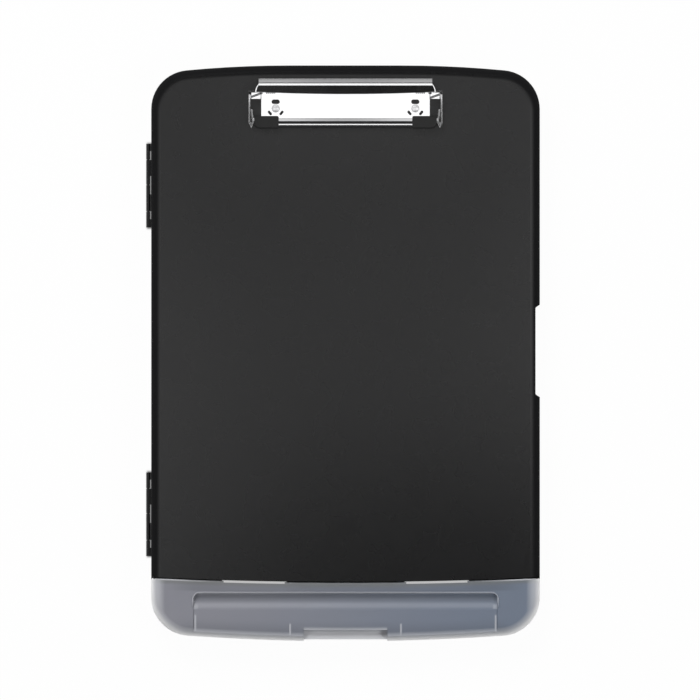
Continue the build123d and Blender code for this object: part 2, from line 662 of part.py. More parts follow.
def clip_arm(side):
    heights = from_rod(
        (0, ARM_BOTTOM_RISE),
        (-ARM_FORE, ARM_BOTTOM_RISE),
        (-ARM_FORE, ARM_TIP_RISE),
        (0, EAR_RISE),
    )
    plan = arm_plan() if side > 0 else mirror(arm_plan(), Plane.YZ)
    return prism(plan, BODY_TOP, 2 * BODY_TOP) & side_prism(heights, -WIDTH, WIDTH)


def clip_ear(side):
    """The ear that carries an arm: it falls off to the rear and to the arm, and a groove crosses its top."""
    fall = (EAR_REAR - EAR_END) * tan(radians(EAR_SLOPE))
    section = from_rod(
        (-EAR_FORE, EAR_RISE - EAR_THICK),
        (-EAR_END, EAR_RISE - EAR_THICK),
        (-EAR_END, EAR_RISE - fall),
        (-EAR_REAR, EAR_RISE),
        (-EAR_FORE, EAR_RISE),
    )
    low, high = sorted((side * JAW_SIDE_X, side * ARM_OUT))
    ear = side_prism(section, low, high)
    top = BODY_TOP + EAR_RISE
    above_fold = Pos(side * ARM_WIDTH, 0, ARM_WIDTH) * Box(2 * ARM_WIDTH, 4 * ARM_WIDTH, 2 * ARM_WIDTH)
    ear -= Pos(side * (ARM_OUT - EAR_FOLD), PIVOT_Y, top) * Rot(0, side * EAR_SLOPE, 0) * above_fold
    notch = polygon(
        (-EAR_GROOVE_WIDTH / 2, 0),
        (0, -EAR_GROOVE_DEPTH),
        (EAR_GROOVE_WIDTH / 2, 0),
        (EAR_GROOVE_WIDTH / 2, EAR_GROOVE_DEPTH),
        (-EAR_GROOVE_WIDTH / 2, EAR_GROOVE_DEPTH),
    )
    middle = side * (JAW_SIDE_X + ARM_OUT) / 2
    groove = Rot(0, 0, EAR_GROOVE_ANGLE) * side_prism(notch, -2 * ARM_WIDTH, 2 * ARM_WIDTH)
    return ear - Pos(middle, PIVOT_Y - EAR_GROOVE_FORE, top) * groove


def jaw_side(side):
    """One of the jaw's sides, which turn on the rod."""
    web_at_rear = WEB_RISE + (JAW_SIDE_REAR + WEB_FORE) * tan(radians(WEB_SLOPE)) - SHEET / 2
    face = from_rod(
        (-JAW_SIDE_FORE, ARM_BOTTOM_RISE),
        (PLATE_EAR_R, ARM_BOTTOM_RISE),
        (JAW_SIDE_REAR, web_at_rear),
        (-JAW_SIDE_FORE, EAR_RISE),
    )
    face -= Pos(PIVOT_Y, PIVOT_Z) * Circle(ROD_R + RUNNING)
    low, high = sorted((side * JAW_SIDE_X, side * (JAW_SIDE_X + SHEET)))
    return side_prism(face, low, high)


def clip_jaw():
    jaw = side_prism(web_profile(), -NECK_HALF, NECK_HALF) & prism(web_plan(), BODY_TOP, 2 * BODY_TOP)
    jaw += neck_rims()
    for side in SIDES.values():
        jaw += clip_ear(side)
        jaw += clip_arm(side)
        jaw += jaw_side(side)
    jaw += clip_bar()
    return jaw


def clip_grip(side):
    """A rubber grip moulded round the end of the clamp bar."""
    low_y = BAR_LOW_Y - GRIP_MARGIN_FORE
    width = BAR_HIGH_Y + GRIP_MARGIN_REAR - low_y
    corner = (side * GRIP_OUT, low_y)
    plan = Rectangle(GRIP_LENGTH, width, align=(Align.CENTER, Align.MIN))
    plan = Pos(side * (GRIP_OUT - GRIP_LENGTH / 2), low_y) * plan
    plan = fillet(plan.vertices().sort_by_distance(corner)[1:], GRIP_ROUND)
    plan = fillet(plan.vertices().sort_by_distance(corner)[0], GRIP_CORNER_R)
    grip = prism(plan, PLATE_TOP, PLATE_TOP + GRIP_HEIGHT)
    grip = fillet(grip.edges().group_by(Axis.Z)[-1], GRIP_TOP_ROUND)
    return grip - clip_bar()


def rivet(x, y):
    """A domed rivet through the plate and the board, spread under its washer."""
    under_board = BODY_TOP - LID_SKIN
    tail_top = under_board - WASHER_THICK
    dome_r = (RIVET_HEAD_R**2 + RIVET_HEAD_HEIGHT**2) / (2 * RIVET_HEAD_HEIGHT)
    dome = Pos(0, 0, PLATE_TOP + RIVET_HEAD_HEIGHT - dome_r) * Sphere(dome_r)
    dome &= Pos(0, 0, PLATE_TOP + RIVET_HEAD_HEIGHT / 2) * Cylinder(RIVET_HEAD_R, RIVET_HEAD_HEIGHT)
    shank = prism(Circle(RIVET_SHANK_R), tail_top, PLATE_TOP)
    tail = prism(Circle(RIVET_TAIL_R), tail_top - RIVET_TAIL_HEIGHT, tail_top)
    tail = fillet(tail.edges().group_by(Axis.Z)[0], RIVET_TAIL_HEIGHT / 2)
    return Pos(x, y, 0) * (dome + shank + tail)


def washer(x, y):
    ring = Circle(WASHER_R) - Circle(RIVET_SHANK_R + PRESSED)
    under_board = BODY_TOP - LID_SKIN
    return Pos(x, y, 0) * prism(ring, under_board - WASHER_THICK, under_board)


def coil_point(side, turned):
    """A point of the spring's middle line and the wire's direction there, after turning by turned radians."""
    angle = -pi / 2 - turned
    rise = COIL_PITCH / (2 * pi)
    x = side * (PLATE_HALF - COIL_SIDE + rise * turned)
    point = Vector(x, PIVOT_Y + COIL_R * cos(angle), PIVOT_Z + COIL_R * sin(angle))
    direction = Vector(side * rise, COIL_R * sin(angle), -COIL_R * cos(angle)).normalized()
    return point, direction


def biarc(start, start_way, end, end_way):
    """Two arcs that leave start along start_way, meet smoothly and reach end along end_way."""
    span = end - start
    both = start_way + end_way
    a = 2 * (start_way.dot(end_way) - 1)
    b = -2 * span.dot(both)
    c = span.dot(span)
    reach = (-b - (b * b - 4 * a * c) ** 0.5) / (2 * a)
    meet = (start + start_way * reach + end - end_way * reach) * 0.5
    first = Edge.make_tangent_arc(start, start_way, meet)
    second = Edge.make_tangent_arc(end, end_way * -1, meet)
    return [first, second]


def clip_spring(side):
    """A torsion spring round the rod: one leg lies on the plate, the other lifts the web."""
    turned = 2 * pi * COIL_TURNS + pi - radians(LEG_LIFT)
    steps = 2 * COIL_TURNS + 1
    marks = [coil_point(side, turned * step / steps) for step in range(steps + 1)]
    edges = [Edge.make_line(marks[0][0] - marks[0][1] * LEG_LENGTH, marks[0][0])]
    for (start, start_way), (end, end_way) in zip(marks, marks[1:]):
        edges += biarc(start, start_way, end, end_way)
    edges += [Edge.make_line(marks[-1][0], marks[-1][0] + marks[-1][1] * LEG_LENGTH)]
    path = Wire(edges)
    section = Plane(path @ 0, z_dir=marks[0][1]) * Circle(WIRE_R)
    return sweep(section, path)


def least_coil_gap():
    """The least gap between neighbouring turns of a spring, measured on points."""
    points = [coil_point(1, step * pi / 18)[0] for step in range(36 * COIL_TURNS)]
    gaps = [(points[i] - points[j]).length for i in range(len(points)) for j in range(i + 27, len(points))]
    return min(gaps) - 2 * WIRE_R


pieces = {
    "base_tray": base_tray(),
    "clipboard_lid": clipboard_lid(),
    "pen_lid": pen_lid(),
    "clip_base_plate": clip_base_plate(),
    "clip_pivot_rod": clip_pivot_rod(),
    "clip_jaw": clip_jaw(),
}
for place, centre in HINGE_CENTRES.items():
    pieces[f"lid_hinge_pin_{place}"] = lid_pin(centre)
for name, side in SIDES.items():
    pieces[f"pen_hinge_pin_{name}"] = pen_pin(side)
    pieces[f"clip_grip_{name}"] = clip_grip(side)
    pieces[f"clip_spring_{name}"] = clip_spring(side)
    pieces[f"clip_rivet_{name}"] = rivet(side * RIVET_X, RIVET_Y)
    pieces[f"rivet_washer_{name}"] = washer(side * RIVET_X, RIVET_Y)

os.makedirs("parts", exist_ok=True)
for name, piece in pieces.items():
    export_step(piece, f"parts/{name}.step")
    print(f"{name}: {len(piece.solids())} solid, {piece.volume:.0f} mm3")
print(f"least gap between the turns of a spring: {least_coil_gap():.2f} mm")
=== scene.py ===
# %% [markdown]
# # A storage clipboard box
#
# The object is a flat black box that lies on its back. Its writing board is a lid with a sprung clip, and a
# frosted lid at the lower end covers a pen compartment. The rigid parts come from a construction model that is
# already cut to its real size, so this file gives them their finishes and sets up the light and the camera.

import json

import bpy
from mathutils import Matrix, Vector


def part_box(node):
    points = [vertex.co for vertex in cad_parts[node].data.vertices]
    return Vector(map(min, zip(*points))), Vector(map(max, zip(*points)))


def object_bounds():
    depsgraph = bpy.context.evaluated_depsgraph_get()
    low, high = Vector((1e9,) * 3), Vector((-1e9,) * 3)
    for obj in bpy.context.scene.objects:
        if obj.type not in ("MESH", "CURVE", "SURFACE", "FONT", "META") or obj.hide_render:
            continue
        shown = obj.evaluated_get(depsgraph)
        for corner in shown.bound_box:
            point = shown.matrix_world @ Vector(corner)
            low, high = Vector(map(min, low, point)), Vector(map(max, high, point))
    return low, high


MM = 0.001
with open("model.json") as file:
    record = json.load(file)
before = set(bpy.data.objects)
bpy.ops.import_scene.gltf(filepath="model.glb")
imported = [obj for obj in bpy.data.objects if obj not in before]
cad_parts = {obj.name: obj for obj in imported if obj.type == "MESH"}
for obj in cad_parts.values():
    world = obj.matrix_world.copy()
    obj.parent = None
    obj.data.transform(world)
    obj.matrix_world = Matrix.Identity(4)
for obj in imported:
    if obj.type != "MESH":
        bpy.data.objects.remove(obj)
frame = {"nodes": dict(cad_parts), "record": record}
cad_low, cad_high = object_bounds()
print("size of the frame in mm:", [round(v / MM, 1) for v in (cad_high - cad_low)])

# %% [markdown]
# ## Camera
#
# The photograph looks straight down on the face. A wide lens close by would show the side walls and bend the
# outline, so the camera stands far away with a long lens. Its distance is free, and the focal length then
# follows from the width of the field. The field's width is known too: the picture is 700 pixels wide, and the
# body takes up a known number of them from side to side.

# %% Camera
PICTURE_SIDE = 700
BODY_PIXELS = 388.8
BODY_CENTRE_PIXEL = Vector((345.5, 353.35))
CAMERA_DISTANCE = 12.0
SENSOR = 36.0

tray_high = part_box("base_tray")[1]
board_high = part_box("clipboard_lid")[1]
pen_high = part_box("pen_lid")[1]
body_half = tray_high.x
pixel = 2 * body_half / BODY_PIXELS
field = pixel * PICTURE_SIDE
aim = Vector((PICTURE_SIDE / 2 - BODY_CENTRE_PIXEL.x, BODY_CENTRE_PIXEL.y - PICTURE_SIDE / 2)) * pixel

camera_data = bpy.data.cameras.new("camera")
camera_data.sensor_width = SENSOR
camera_data.lens = SENSOR * CAMERA_DISTANCE / field
camera_data.clip_end = 3 * CAMERA_DISTANCE
camera = bpy.data.objects.new("camera", camera_data)
camera.location = (aim.x, aim.y, board_high.z + CAMERA_DISTANCE)
bpy.context.scene.collection.objects.link(camera)
bpy.context.scene.camera = camera
print("lens in mm:", round(camera_data.lens, 1), "pixel in mm:", round(pixel / MM, 4))

# %% [markdown]
# ## A small language for shaders
#
# Node trees are hard to read as lists of links. Here one small class wraps a socket, so that a sum or a product
# of two masks is written as a sum or a product, and each operator adds its Math node.


# %% A value on a surface
class Value:
    """A number that a node gives at each point of a surface."""

    def __init__(self, paint, socket):
        self.paint = paint
        self.socket = socket

    def math(self, operation, *numbers):
        return self.paint.add("ShaderNodeMath", {"operation": operation}, dict(enumerate(numbers)))[0]

    def __add__(self, other):
        return self.math("ADD", self, other)

    def __sub__(self, other):
        return self.math("SUBTRACT", self, other)

    def __rsub__(self, other):
        return self.math("SUBTRACT", other, self)

    def __mul__(self, other):
        return self.math("MULTIPLY", self, other)

    def __pow__(self, other):
        return self.math("POWER", self, other)

    def __abs__(self):
        return self.math("ABSOLUTE", self)

    __radd__ = __add__
    __rmul__ = __mul__

    def least(self, other):
        return self.math("MINIMUM", self, other)

    def most(self, other):
        return self.math("MAXIMUM", self, other)

    def rise(self, low, high, curve="SMOOTHSTEP"):
        """0 up to low, 1 from high, and a step between them. It falls where high is the smaller."""
        ends = (low, high, 0.0, 1.0) if low < high else (high, low, 1.0, 0.0)
        sockets = {0: self, 1: ends[0], 2: ends[1], 3: ends[2], 4: ends[3]}
        return self.paint.add("ShaderNodeMapRange", {"interpolation_type": curve, "clamp": True}, sockets)[0]

    def near(self, centre, half_width, soft):
        """1 within half_width of the centre, fading to 0 over a soft edge."""
        return abs(self - centre).rise(half_width + soft, half_width)


print("operators:", [name for name in vars(Value) if not name.endswith("init__")])

# %% [markdown]
# Another class holds one node tree, of a material or of the world. Its one method adds any other node, with its
# settings and its sockets, so every node in this file is written the same way.


# %% A node tree
class Added:
    """A node that was just added. Its outputs are read by number or name."""

    def __init__(self, paint, node):
        self.paint = paint
        self.node = node

    def __getitem__(self, output):
        return Value(self.paint, self.node.outputs[output])


class Paint:
    """A node tree and the one method that adds to it."""

    def __init__(self, owner):
        owner.use_nodes = True
        self.owner = owner
        self.tree = owner.node_tree

    def add(self, kind, settings=None, sockets=None):
        node = self.tree.nodes.new(kind)
        for name, setting in (settings or {}).items():
            setattr(node, name, setting)
        self.fill(node, sockets or {})
        return Added(self, node)

    def fill(self, node, sockets):
        for name, given in sockets.items():
            if isinstance(given, Value):
                self.tree.links.new(given.socket, node.inputs[name])
            else:
                node.inputs[name].default_value = given

    def find(self, kind):
        return next(node for node in self.tree.nodes if node.bl_idname == kind)

    def show(self, result):
        """Sends a shader to the material's or the world's output."""
        output = next(node for node in self.tree.nodes if node.bl_idname.startswith("ShaderNodeOutput"))
        self.fill(output, {"Surface": result})

    def mix(self, mask, first, second):
        return self.add("ShaderNodeMixShader", None, {0: mask, 1: first, 2: second})[0]

    def place(self, coordinate="Object"):
        """Where a point lies, as x, y and z. On a piece they are in metres."""
        where = self.add("ShaderNodeTexCoord")[coordinate]
        return [self.add("ShaderNodeSeparateXYZ", None, {0: where})[axis] for axis in "XYZ"]


print("node tree class ready")

# %% [markdown]
# The finishes share three patterns: soft clouds, which make a colour or a gloss wander, a relief that turns a
# pattern into fine bumps, and a tint between two colours. The relief also rounds the hard edges that a
# construction model has, since light catches on them in the real thing. Each finish is kept under the name that
# the construction model gives it.


# %% Patterns
finishes = {}


def new_material(name):
    paint = Paint(bpy.data.materials.new(name))
    paint.surface = Added(paint, paint.find("ShaderNodeBsdfPrincipled"))
    return paint


def clouds(paint, size, detail=2.0, stretch=(1.0, 1.0, 1.0)):
    """Soft grey clouds of about that size in metres, from 0 to 1."""
    where = paint.add("ShaderNodeTexCoord")["Object"]
    where = paint.add("ShaderNodeMapping", None, {"Vector": where, "Scale": stretch})[0]
    return paint.add("ShaderNodeTexNoise", None, {"Vector": where, "Scale": 1.0 / size, "Detail": detail})[0]


def relief(paint, height, depth, rounding):
    """Relief of that depth in metres from a height of 0 to 1, over edges softened by the rounding."""
    soft = paint.add("ShaderNodeBevel", {"samples": 4}, {"Radius": rounding})[0]
    sockets = {"Height": height, "Strength": 1.0, "Distance": depth, "Normal": soft}
    return paint.add("ShaderNodeBump", None, sockets)[0]


def tint(paint, mask, first, second):
    """The first colour where the mask is 0, the second where it is 1. Either may be a value itself."""
    colours = [given if isinstance(given, Value) else (*given, 1.0) for given in (first, second)]
    return paint.add("ShaderNodeMix", {"data_type": "RGBA"}, {0: mask, 6: colours[0], 7: colours[1]})[2]


print("patterns ready")

# %% [markdown]
# ## The body's outline
#
# Both plastics change near the body's edge, and the paper is in shade under it. The outline has straight sides,
# bowed ends and round corners, and the distance from it is worked out from x and y alone: first how far a point
# is past the centre of the corner's arc, to the side and to the end, and then how much of the corner's radius is
# left.

# %% Distance from the outline
CORNER_R = 24.0 * MM
LOW_BOW_R = 1383.0 * MM
TOP_BOW_R = 667.0 * MM
TOP_FLAT = 35.0 * MM
BODY_END = tray_high.y
BODY_TOP = board_high.z


def low_end(x):
    """How far the body's lower end lies behind the outline's lowest point, by the bow."""
    return x * x * (1 / (2 * LOW_BOW_R))


def from_outline(x, y):
    """How far a point lies inside the body's outline."""
    past_flat = (abs(x) - TOP_FLAT).most(0.0)
    top_end = past_flat * past_flat * (1 / (2 * TOP_BOW_R))
    side = abs(x) - (body_half - CORNER_R)
    end = (low_end(x) - y).most(top_end + y) - (BODY_END - CORNER_R)
    beyond = side.most(0.0) * side.most(0.0) + end.most(0.0) * end.most(0.0)
    return CORNER_R - beyond ** 0.5 - side.most(end).least(0.0)


print("body's end at", round(BODY_END / MM, 1), "mm, top at", round(BODY_TOP / MM, 1), "mm")

# %% [markdown]
# ## Room
#
# The object lies on white paper in a dark room. The camera and the clear plastic see the room as white, since
# that is the photograph's background. Mirrors see white only along the horizon, so polished parts keep their
# contrast. Halfway up hangs a ring of dim light, which gives the black faces a sheen when they are looked at
# from the side. A real room is never evenly dark, so a faint cloudiness is added to what mirrors see.

# %% World
WHITE = (1.0, 1.0, 1.0, 1.0)
ROOM_LIGHT = 0.008
HORIZON_TOP = 0.42
HORIZON_LIGHT = 0.8
RING_HEIGHT = 0.63
RING_HALF = 0.05
RING_SOFT = 0.04
RING_LIGHT = 0.45
ROOM_CLOUDS = 0.07
CLOUD_SCALE = 40.0
CLOUD_EDGES = (0.42, 0.64)

world = bpy.data.worlds.new("studio")
bpy.context.scene.world = world
sky = Paint(world)
rays = sky.add("ShaderNodeLightPath")
upward = sky.place("Generated")[2]
horizon = upward.rise(HORIZON_TOP, 0.0) * HORIZON_LIGHT
ring = upward.near(RING_HEIGHT, RING_HALF, RING_SOFT) * RING_LIGHT
patches = sky.add("ShaderNodeTexNoise", None, {"Scale": CLOUD_SCALE, "Detail": 2.0})[0].rise(*CLOUD_EDGES)
mirrored = rays["Is Glossy Ray"] * (horizon + ring + patches * ROOM_CLOUDS) + ROOM_LIGHT
seen = rays["Is Camera Ray"].most(rays["Is Transmission Ray"])
sky.show(sky.add("ShaderNodeBackground", None, {"Color": WHITE, "Strength": seen.most(mirrored)})[0])
print("room light:", ROOM_LIGHT)

# %% [markdown]
# The paper glows at a strength of one for the camera, for mirrors and through clear plastic. To all other light
# it is plain paper, and a small part of that is mixed in everywhere, which keeps the object's shadow on it. More
# of it is mixed in under the box, where the shade is deep: that shade is seen through the slots at the seam and
# through the gaps of the hinges. Below the gaps of the hinges the paper's colour is also painted dark grey, as
# painted shade.

# %% Floor
FLOOR_SIDE = 8.0
FLOOR_GAP = 0.2 * MM
FLOOR_SHADOW = 0.03
SHADE_UNDER = 0.47
SHADE_START = 5 * MM
SHADE_FULL = 12 * MM
PAPER_GREY = 0.8
# Painted shade: the paper's dark grey below the hinge gaps.
PAINTED_HINGE_SHADE_GREY = 0.13
HINGE_SHADE = 0.8
HINGE_GAP = 2 * MM


def hinge_gap(x, y, pin):
    """1 on the paper below the gap of the hinge that turns on that pin."""
    pin_low, pin_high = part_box(pin)
    pin_middle = (pin_low.y + pin_high.y) / 2
    return y.near(pin_middle, pin_high.y - pin_middle, HINGE_GAP) * x.near(-body_half, HINGE_GAP, HINGE_GAP)


bpy.ops.object.select_all(action="DESELECT")
bpy.ops.mesh.primitive_plane_add(size=FLOOR_SIDE, location=(0, 0, cad_low.z - FLOOR_GAP))
floor = bpy.context.object
floor.name = "floor"
paper = new_material("white_paper")
glow = paper.add("ShaderNodeEmission", None, {"Color": WHITE, "Strength": 1.0})[0]
rays = paper.add("ShaderNodeLightPath")
seen = rays["Is Camera Ray"].most(rays["Is Transmission Ray"]).most(rays["Is Glossy Ray"])
x, y = paper.place()[:2]
gaps = hinge_gap(x, y, "lid_hinge_pin_upper").most(hinge_gap(x, y, "lid_hinge_pin_lower"))
shade = from_outline(x, y).rise(SHADE_START, SHADE_FULL) * SHADE_UNDER
shade = shade.most(gaps * HINGE_SHADE) + FLOOR_SHADOW
# Below the hinge gaps the paper's colour is painted dark grey, as painted shade.
paper.fill(paper.surface.node, {
    "Base Color": tint(paper, gaps, (PAPER_GREY,) * 3, (PAINTED_HINGE_SHADE_GREY,) * 3),
    "Roughness": 0.9,
})
paper.show(paper.mix(seen * (1.0 - shade), paper.surface[0], glow))
floor.data.materials.append(paper.owner)
print("floor at", round(floor.location.z / MM, 2), "mm")

# %% [markdown]
# ## Light
#
# A black and chromed object is drawn by what it mirrors. Flat chrome faces the camera and mirrors what hangs
# above it, so a glowing cloth hangs there, and all that leans away mirrors the dark room and turns black. The
# cloth is white over the clip and dark round it, which keeps the clip's outline clear. Behind the clip it is
# grey, for what leans back a little. Beside the board it is brighter than over it and then fades outwards, so the
# body's rounding gets a light line and a soft ramp to black. It ends over the lower right of the board, where the
# photograph's black gets deeper.


# %% Glowing cloth
CLOTH_HEIGHT = 0.6
CLOTH_HALF = 1.0
CLOTH_FRONT = -0.24
CLOTH_BACK = 0.34
CLOTH_LEVEL = 1.15
BOARD_GREY = 0.66
LEFT_SIDE = (-0.10, -0.18)
RIGHT_SIDE = (0.11, 0.19)
SIDE_GREY = 1.0
FAR_RIGHT = (0.16, 0.2)
FAR_RIGHT_GREY = 1.45
SIDE_FADE = (0.2, 1.1)
ROUND_CLIP_Y = (0.04, 0.10)
ROUND_CLIP_X = (0.20, 0.10)
ROUND_CLIP_GREY = 0.10
CLIP_Y = (0.112, 0.13)
CLIP_X = (0.11, 0.08)
CLIP_GREY = 1.0
BEHIND_Y = (0.205, 0.29)
BEHIND_GREY = 0.28
BEHIND_BOW = 0.02
BEHIND_BOW_X = (0.045, 0.0)
FRONT_EDGE = -0.073
FRONT_SLANT_START = -0.01
FRONT_SOFT = 0.02
FAR_RIGHT_EDGE = (0.16, 0.18)
FAR_RIGHT_LONGER = 0.035


def cloth_colour(paint):
    """The cloth's greys, each laid over the one before, and black beyond a slanting front edge."""
    x, y = paint.place()[:2]
    aside = abs(x)

    def lay(mask, below, grey):
        return tint(paint, mask, below, (grey,) * 3)

    colour = lay(x.rise(*LEFT_SIDE).most(x.rise(*RIGHT_SIDE)), (BOARD_GREY,) * 3, SIDE_GREY)
    colour = lay(y.rise(*ROUND_CLIP_Y) * aside.rise(*ROUND_CLIP_X), colour, ROUND_CLIP_GREY)
    colour = lay(y.rise(*CLIP_Y) * aside.rise(*CLIP_X), colour, CLIP_GREY)
    colour = lay(x.rise(*FAR_RIGHT), colour, FAR_RIGHT_GREY)
    colour = lay(aside.rise(*SIDE_FADE), colour, 0.0)
    bowed = y + aside.rise(*BEHIND_BOW_X) * BEHIND_BOW
    colour = lay(bowed.rise(*BEHIND_Y), colour, BEHIND_GREY)
    edge = (x - FRONT_SLANT_START).least(0.0) + FRONT_EDGE - x.rise(*FAR_RIGHT_EDGE) * FAR_RIGHT_LONGER
    return tint(paint, (y - edge).rise(-FRONT_SOFT, FRONT_SOFT), (0.0,) * 3, colour)


def hang_cloth():
    """A sheet over the object that only mirrors see."""
    bpy.ops.object.select_all(action="DESELECT")
    bpy.ops.mesh.primitive_plane_add(size=1.0, location=(0, (CLOTH_FRONT + CLOTH_BACK) / 2, CLOTH_HEIGHT))
    cloth = bpy.context.object
    cloth.name = "glowing_cloth"
    cloth.scale = (2 * CLOTH_HALF, CLOTH_BACK - CLOTH_FRONT, 1.0)
    bpy.ops.object.transform_apply(location=True, rotation=True, scale=True)
    paint = new_material("glowing_cloth")
    glow = paint.add("ShaderNodeEmission", None, {"Color": cloth_colour(paint), "Strength": CLOTH_LEVEL})
    paint.show(glow[0])
    cloth.data.materials.append(paint.owner)
    cloth.visible_camera = False
    cloth.visible_diffuse = False
    cloth.visible_transmission = False
    cloth.visible_shadow = False


hang_cloth()
print("cloth at", CLOTH_HEIGHT, "m")

# %% [markdown]
# Dull surfaces don't show what they mirror, and they need light from more sides. Three large lamps that mirrors
# don't see bring it to a plain level, at which a colour renders about as it is written. The upper one is the
# strongest, so that what leans towards the lower end gets darker, and the left one is weak.


# %% Lamps
def soft_lamp(name, place, width, height, power):
    """A soft rectangular lamp that faces the object and lights dull surfaces alone."""
    data = bpy.data.lights.new(name, "AREA")
    data.shape = "RECTANGLE"
    data.size = width
    data.size_y = height
    data.energy = power
    lamp = bpy.data.objects.new(name, data)
    lamp.location = place
    lamp.rotation_euler = (-Vector(place)).to_track_quat("-Z", "Y").to_euler()
    lamp.visible_camera = False
    lamp.visible_glossy = False
    bpy.context.scene.collection.objects.link(lamp)


soft_lamp("upper_lamp", place=(-0.5, 1.3, 1.4), width=1.2, height=0.9, power=36.0)
soft_lamp("right_lamp", place=(1.6, -0.6, 1.5), width=1.0, height=1.0, power=22.0)
soft_lamp("left_lamp", place=(-1.3, -1.2, 0.9), width=0.8, height=0.8, power=9.0)

# %% [markdown]
# ## Black moulded plastic
#
# The tray and the writing board are one black plastic with a fine moulded grain. A flat black would look like a
# hole, so the colour and the gloss wander a little, and the grain is a bump a few hundredths of a millimetre
# deep. The steep part of the rounded edge is dull and deeper black, which draws the outline against the paper.

# %% Black plastic
EDGE_ROUND = 6.0 * MM
DULL_START = 6.8 * MM
DULL_FULL = 2.6 * MM
GRAIN_SIZE = 0.6 * MM
GRAIN_DEPTH = 0.02 * MM
EDGE_SOFTNESS = 0.3 * MM
BLACKS = ((0.0065, 0.0065, 0.0068), (0.0090, 0.0090, 0.0093))
DULL_BLACKS = ((0.0070, 0.0070, 0.0075), (0.0100, 0.0100, 0.0105))


def black_plastic():
    paint = new_material("black_plastic")
    x, y, z = paint.place()
    mottle = clouds(paint, 0.05)
    paint.fill(paint.surface.node, {
        "Base Color": tint(paint, mottle, *BLACKS),
        "Roughness": clouds(paint, 0.02) * 0.05 + 0.25,
        "Specular IOR Level": 0.5,
        "Normal": relief(paint, clouds(paint, GRAIN_SIZE, 3.0), GRAIN_DEPTH, EDGE_SOFTNESS),
    })
    dull = paint.add("ShaderNodeBsdfPrincipled", None, {
        "Base Color": tint(paint, mottle, *DULL_BLACKS),
        "Roughness": 0.9,
        "Specular IOR Level": 0.1,
    })[0]
    near_top = z.rise(BODY_TOP - EDGE_ROUND, BODY_TOP - 0.8 * EDGE_ROUND)
    steep = from_outline(x, y).rise(DULL_START, DULL_FULL) * near_top
    paint.show(paint.mix(steep, paint.surface[0], dull))
    return paint.owner


finishes["black_plastic"] = black_plastic()
print("finishes:", sorted(finishes))

# %% [markdown]
# ## Frosted plastic
#
# The pen lid is a clear plastic with a matte skin. Much of the light goes through it, so the black tray darkens
# it, and the white paper lightens the pull tab, which has no tray below; both are also painted into its colour,
# as painted shade and painted light. Where a wall or a rib stands under the skin there is more plastic to scatter
# light, so the rim and the ribs look paler. A second shader without transmission stands for that thick plastic,
# and a mask mixes it in. Its colour goes nearly white at the very edge and on the tab, painted light that they
# catch from the paper.

# %% Thick places
SEAM_BOW_R = 2570.0 * MM
PEN_EDGE = pen_high.y - body_half**2 / (2 * SEAM_BOW_R)
SIDE_RIM = 8.5 * MM
LOW_RIM = 5.5 * MM
TAB_HALF = 25.8 * MM
TAB_ROOT = 7.0 * MM
RIB_PLACES = ((34.2 * MM, 10.4 * MM), (92.7 * MM, 13.2 * MM))
RIB_HALF = 0.4 * MM


def from_seam(x, y):
    """How far a point lies below the pen lid's upper edge."""
    return x * x * (1 / (2 * SEAM_BOW_R)) + PEN_EDGE - y


def from_low_end(x, y):
    """How far a point lies above the body's lower end."""
    return y + BODY_END - low_end(x)


def thick_rim(x, y):
    """1 at the edge, fading inwards, over more at the sides than at the lower end."""
    from_side = body_half - abs(x)
    return from_side.rise(SIDE_RIM, 0.0, "LINEAR").most(from_outline(x, y).rise(LOW_RIM, 0.0, "LINEAR"))


def pull_tab(x, y):
    """1 on the pull tab, below which the paper lies, fading in over the edge of the panel above it."""
    across = abs(x).rise(TAB_HALF + 0.3 * MM, TAB_HALF - 0.5 * MM)
    return across * from_low_end(x, y).rise(TAB_ROOT + 2.0 * MM, TAB_ROOT - 1.5 * MM, "LINEAR")


def thick_ribs(x, y):
    """The ribs below the skin, beside the tab and at the panel's ends."""
    ribs = 0.0
    for place, reach in RIB_PLACES:
        along = from_low_end(x, y).rise(reach + 0.6 * MM, reach - 0.6 * MM)
        ribs = abs(x).near(place, RIB_HALF, 0.3 * MM) * along + ribs
    return ribs


print("pen lid's upper edge at", round(PEN_EDGE / MM, 1), "mm at the middle")

# %% [markdown]
# The sunken panel has a raised bead round its upper end, and a trough for a pen lies below it. The bead is
# bright, because the plastic is thick there and its round top catches the light; that highlight is painted along
# it. The trough's shape makes its own light and shade, and the masks only widen the shade of its upper slope with
# painted shade and add a painted gleam at each end.

# %% Panel and trough
PANEL_HALF = 94.0 * MM
PANEL_TOP = PEN_EDGE - 6.4 * MM
PANEL_CORNER = 4.0 * MM
BEAD_REACH = 9.0 * MM


def in_panel(x, y):
    """How far a point lies inside the panel's rounded upper end."""
    side = abs(x) - (PANEL_HALF - PANEL_CORNER)
    up = y - (PANEL_TOP - PANEL_CORNER)
    beyond = side.most(0.0) * side.most(0.0) + up.most(0.0) * up.most(0.0)
    return PANEL_CORNER - beyond ** 0.5 - side.most(up).least(0.0)


def bead(x, y):
    """1 along the panel's rounded upper end, fading out down its sides, where a highlight is painted."""
    line = in_panel(x, y).near(-0.15 * MM, 0.35 * MM, 0.4 * MM)
    return line * (y - PANEL_TOP).rise(-BEAD_REACH, 0.5 * -BEAD_REACH)


def trough_shade(x, y):
    """1 on the upper slope of the pen trough, which hangs closest to the black tray, where painted shade is laid.
    """
    below = PANEL_TOP - y
    slope = below.rise(1.2 * MM, 2.6 * MM) * below.rise(7.0 * MM, 3.8 * MM)
    return slope * abs(x).rise(PANEL_HALF, PANEL_HALF - 2.0 * MM)


